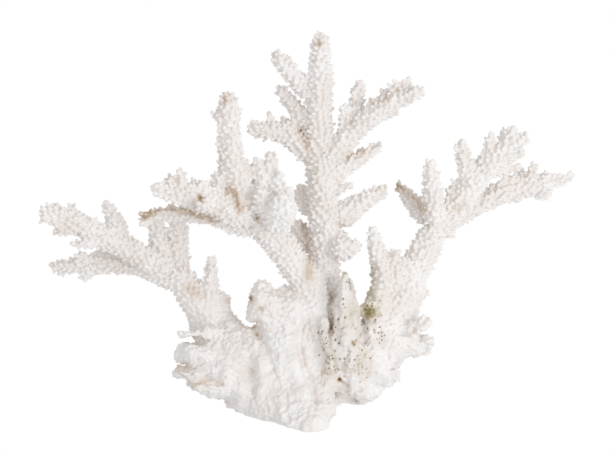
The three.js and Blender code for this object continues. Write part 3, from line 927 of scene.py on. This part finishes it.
# small patches, where two knobs touch, go over to the limb round them
stray = np.zeros(len(skinFaces), bool)
for number in range(len(nodeNames)):
    own = np.nonzero(faceNode == number)[0]
    used, index = np.unique(skinFaces[own], return_inverse=True)
    index = index.reshape(-1, 3)
    island = islandsOf(len(used), edgesOf(index))[index[:, 0]]
    stray[own[np.bincount(island)[island] < cut["smallest"]]] = True
print("pieces:", int(stray.sum()), "faces in small patches")
while stray.any():
    votes = votesFor(~stray)
    reached = stray & (votes.max(1) > 0)
    faceNode[reached] = votes[reached].argmax(1)
    stray &= ~reached


def sunkIn(places, number):
    # places inside the core of one limb, under these places of its skin, never through to its far side
    own = coreFaces[coreNode[coreFaces[:, 0]] == number]
    used, index = np.unique(own, return_inverse=True)
    ownTree = BVHTree.FromPolygons(sunk[used].tolist(), index.reshape(own.shape).tolist())
    inner = np.empty_like(places)
    for i, place in enumerate(places.tolist()):
        under, _, face, _ = ownTree.find_nearest(place)
        inward = Vector(-coreNormals[own[face, 0]])
        far = sunkTree.ray_cast(under + inward * 0.05, inward, 2 * cut["depth"])[3]
        inner[i] = under + inward * (cut["depth"] if far is None else far / 2)
    return inner


def capsOf(faces, places, number):
    # closes each cut end, on corners of its own, with a band in under the surface and then a fan.
    # gives their places, the corners of the piece that they take after, and the faces
    pairs = np.concatenate([faces[:, [0, 1]], faces[:, [1, 2]], faces[:, [2, 0]]])
    keys = pairs.min(1).astype(np.int64) << 32 | pairs.max(1)
    _, back, counts = np.unique(keys, return_inverse=True, return_counts=True)
    rim, index = np.unique(pairs[counts[back] == 1], return_inverse=True)
    first, second = index.reshape(-1, 2).T
    label = islandsOf(len(rim), index.reshape(-1, 2))
    loops, firstIn, which = np.unique(label, return_index=True, return_inverse=True)
    middles = np.array([places[rim][which == i].mean(0) for i in range(len(loops))]).reshape(-1, 3)
    far = np.linalg.norm(places[rim] - middles[which], axis=1)
    narrow = np.array([far[which == i].max() < cut["neck"] for i in range(len(loops))], bool)
    straight = (places[rim] + middles[which]) / 2
    inner = np.where(narrow[which][:, None], straight, sunkIn(places[rim], number))
    middles = np.array([inner[which == i].mean(0) for i in range(len(loops))]).reshape(-1, 3)
    ring, middle = len(rim), 2 * len(rim) + which[first]
    band = [np.stack([second, first, ring + first], 1), np.stack([second, ring + first, ring + second], 1)]
    fan = np.stack([ring + second, ring + first, middle], 1)
    after = np.concatenate([rim, rim, rim[firstIn]])
    return np.concatenate([places[rim], inner, middles]), after, np.concatenate([*band, fan])


colourMap = {"edge": 0.02, "span": 0.95, "jitter": 0.004}


def mapColours(mesh):
    # a map that puts faces of one colour together: across by the stains and painted shade, up by moss
    stainAndShadeOf, mossOf = np.empty(len(mesh.vertices), np.float32), np.empty(len(mesh.vertices), np.float32)
    mesh.attributes["stainAndShade"].data.foreach_get("value", stainAndShadeOf)
    mesh.attributes["moss"].data.foreach_get("value", mossOf)
    corners = np.empty(len(mesh.loops), np.int32)
    mesh.loops.foreach_get("vertex_index", corners)
    jitter = draws.rand(len(corners), 2) * colourMap["jitter"]
    colours = np.stack([stainAndShadeOf[corners], mossOf[corners]], 1)
    places = colourMap["edge"] + colourMap["span"] * colours + jitter
    mesh.uv_layers.new(name="OFBake").data.foreach_set("uv", places.astype(np.float32).ravel())


lookNormals = normalsOf(skin, skinFaces)
for number, name in enumerate(nodeNames):
    chosen = skinFaces[faceNode == number]
    used, index = np.unique(chosen, return_inverse=True)
    index = index.reshape(-1, 3)
    capPlaces, after, caps = capsOf(index, skin[used], number)
    taken = np.concatenate([used, used[after]])
    corners = np.concatenate([skin[used], capPlaces]) / 1000
    mesh = meshOf(name, corners, np.concatenate([index, caps + len(used)]))
    for title, values in (("stainAndShade", stainAndShade), ("moss", moss)):
        layer = mesh.attributes.new(title, "FLOAT", "POINT")
        layer.data.foreach_set("value", values[taken].astype(np.float32))
    mapColours(mesh)
    mesh.polygons.foreach_set("use_smooth", np.ones(len(mesh.polygons), bool))
    # the shading runs on over the forks, and zeros leave that of the ends to the mesh
    look = np.concatenate([lookNormals[used], np.zeros((len(after), 3))])
    mesh.normals_split_custom_set_from_vertices(look)
    piece = bpy.data.objects.new("coral_" + name, mesh)
    bpy.context.scene.collection.objects.link(piece)
    mesh.materials.append(boredThrough if name == "dead_spire" else bleached)
    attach(piece, "root")
    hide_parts(name)
    print("pieces:", name, len(mesh.polygons), "triangles, of them", len(caps), "close its ends")

# Floor, light and camera.
studio = {
    "middle": (-2.2, 0.0, 98.2),  # of the view, in the fan
    "distance": 2500.0,
    "elevation": 15.0,
    "width": 336.6,  # of the view at the fan
    "sensor": 36.0,
    "floor": 6.0,  # metres, from its middle to each side
    "floorDrop": 0.0005,
    "floorGlow": 0.76,
    "skyGlow": 0.785,
    "key": {"place": (0.9, -1.2, 0.15), "aim": (0, 0, 0.1), "size": 0.9, "power": 10.3},
}


def glowing(name, seen, given):
    # seen is what the camera gets, given is the light it gives
    material = bpy.data.materials.new(name)
    material.use_nodes = True
    tree = material.node_tree
    tree.nodes.clear()
    path = tree.nodes.new("ShaderNodeLightPath")
    shown, lit = tree.nodes.new("ShaderNodeEmission"), tree.nodes.new("ShaderNodeEmission")
    shown.inputs["Strength"].default_value = seen
    lit.inputs["Strength"].default_value = given
    mix = tree.nodes.new("ShaderNodeMixShader")
    end = tree.nodes.new("ShaderNodeOutputMaterial")
    link(tree, path.outputs["Is Camera Ray"], mix.inputs[0])
    link(tree, lit.outputs[0], mix.inputs[1])
    link(tree, shown.outputs[0], mix.inputs[2])
    link(tree, mix.outputs[0], end.inputs["Surface"])
    return material


print("studio: floor, light and camera")
floorCorners = np.array([[-1, -1, 0], [1, -1, 0], [1, 1, 0], [-1, 1, 0]]) * studio["floor"]
floorMesh = meshOf("floor", floorCorners, np.array([[0, 1, 2, 3]]))
floor = bpy.data.objects.new("floor", floorMesh)
floor.location.z = -studio["floorDrop"]
bpy.context.scene.collection.objects.link(floor)
floorMesh.materials.append(glowing("paleFloor", 1.0, studio["floorGlow"]))

world = bpy.data.worlds.new("studio")
bpy.context.scene.world = world
world.use_nodes = True
sky = world.node_tree
sky.nodes.clear()
skyPath = sky.nodes.new("ShaderNodeLightPath")
skyMix = sky.nodes.new("ShaderNodeMixShader")
skyEnd = sky.nodes.new("ShaderNodeOutputWorld")
link(sky, skyPath.outputs["Is Camera Ray"], skyMix.inputs[0])
for socket, strength in ((1, studio["skyGlow"]), (2, 1.0)):  # the light it gives, then what the camera gets
    white = sky.nodes.new("ShaderNodeBackground")
    white.inputs["Color"].default_value = (1, 1, 1, 1)
    white.inputs["Strength"].default_value = strength
    link(sky, white.outputs[0], skyMix.inputs[socket])
link(sky, skyMix.outputs[0], skyEnd.inputs["Surface"])

key = studio["key"]
keyData = bpy.data.lights.new("keyLight", "AREA")
keyData.size = key["size"]
keyData.energy = key["power"]
keyLight = bpy.data.objects.new("keyLight", keyData)
keyLight.location = key["place"]
keyLight.rotation_euler = (Vector(key["aim"]) - Vector(key["place"])).to_track_quat("-Z", "Y").to_euler()
bpy.context.scene.collection.objects.link(keyLight)

camera = bpy.data.objects.new("camera", bpy.data.cameras.new("camera"))
bpy.context.scene.collection.objects.link(camera)
elevation = math.radians(studio["elevation"])
back = Vector((0, -math.cos(elevation), math.sin(elevation)))
camera.location = Vector(toFrame([studio["middle"]])[0] / 1000) + back * studio["distance"] / 1000
camera.rotation_euler = (-back).to_track_quat("-Z", "Y").to_euler()
camera.data.sensor_width = studio["sensor"]
camera.data.lens = studio["sensor"] * studio["distance"] / studio["width"]
camera.data.clip_end = 50
bpy.context.scene.camera = camera
bpy.context.scene.view_settings.view_transform = "Standard"
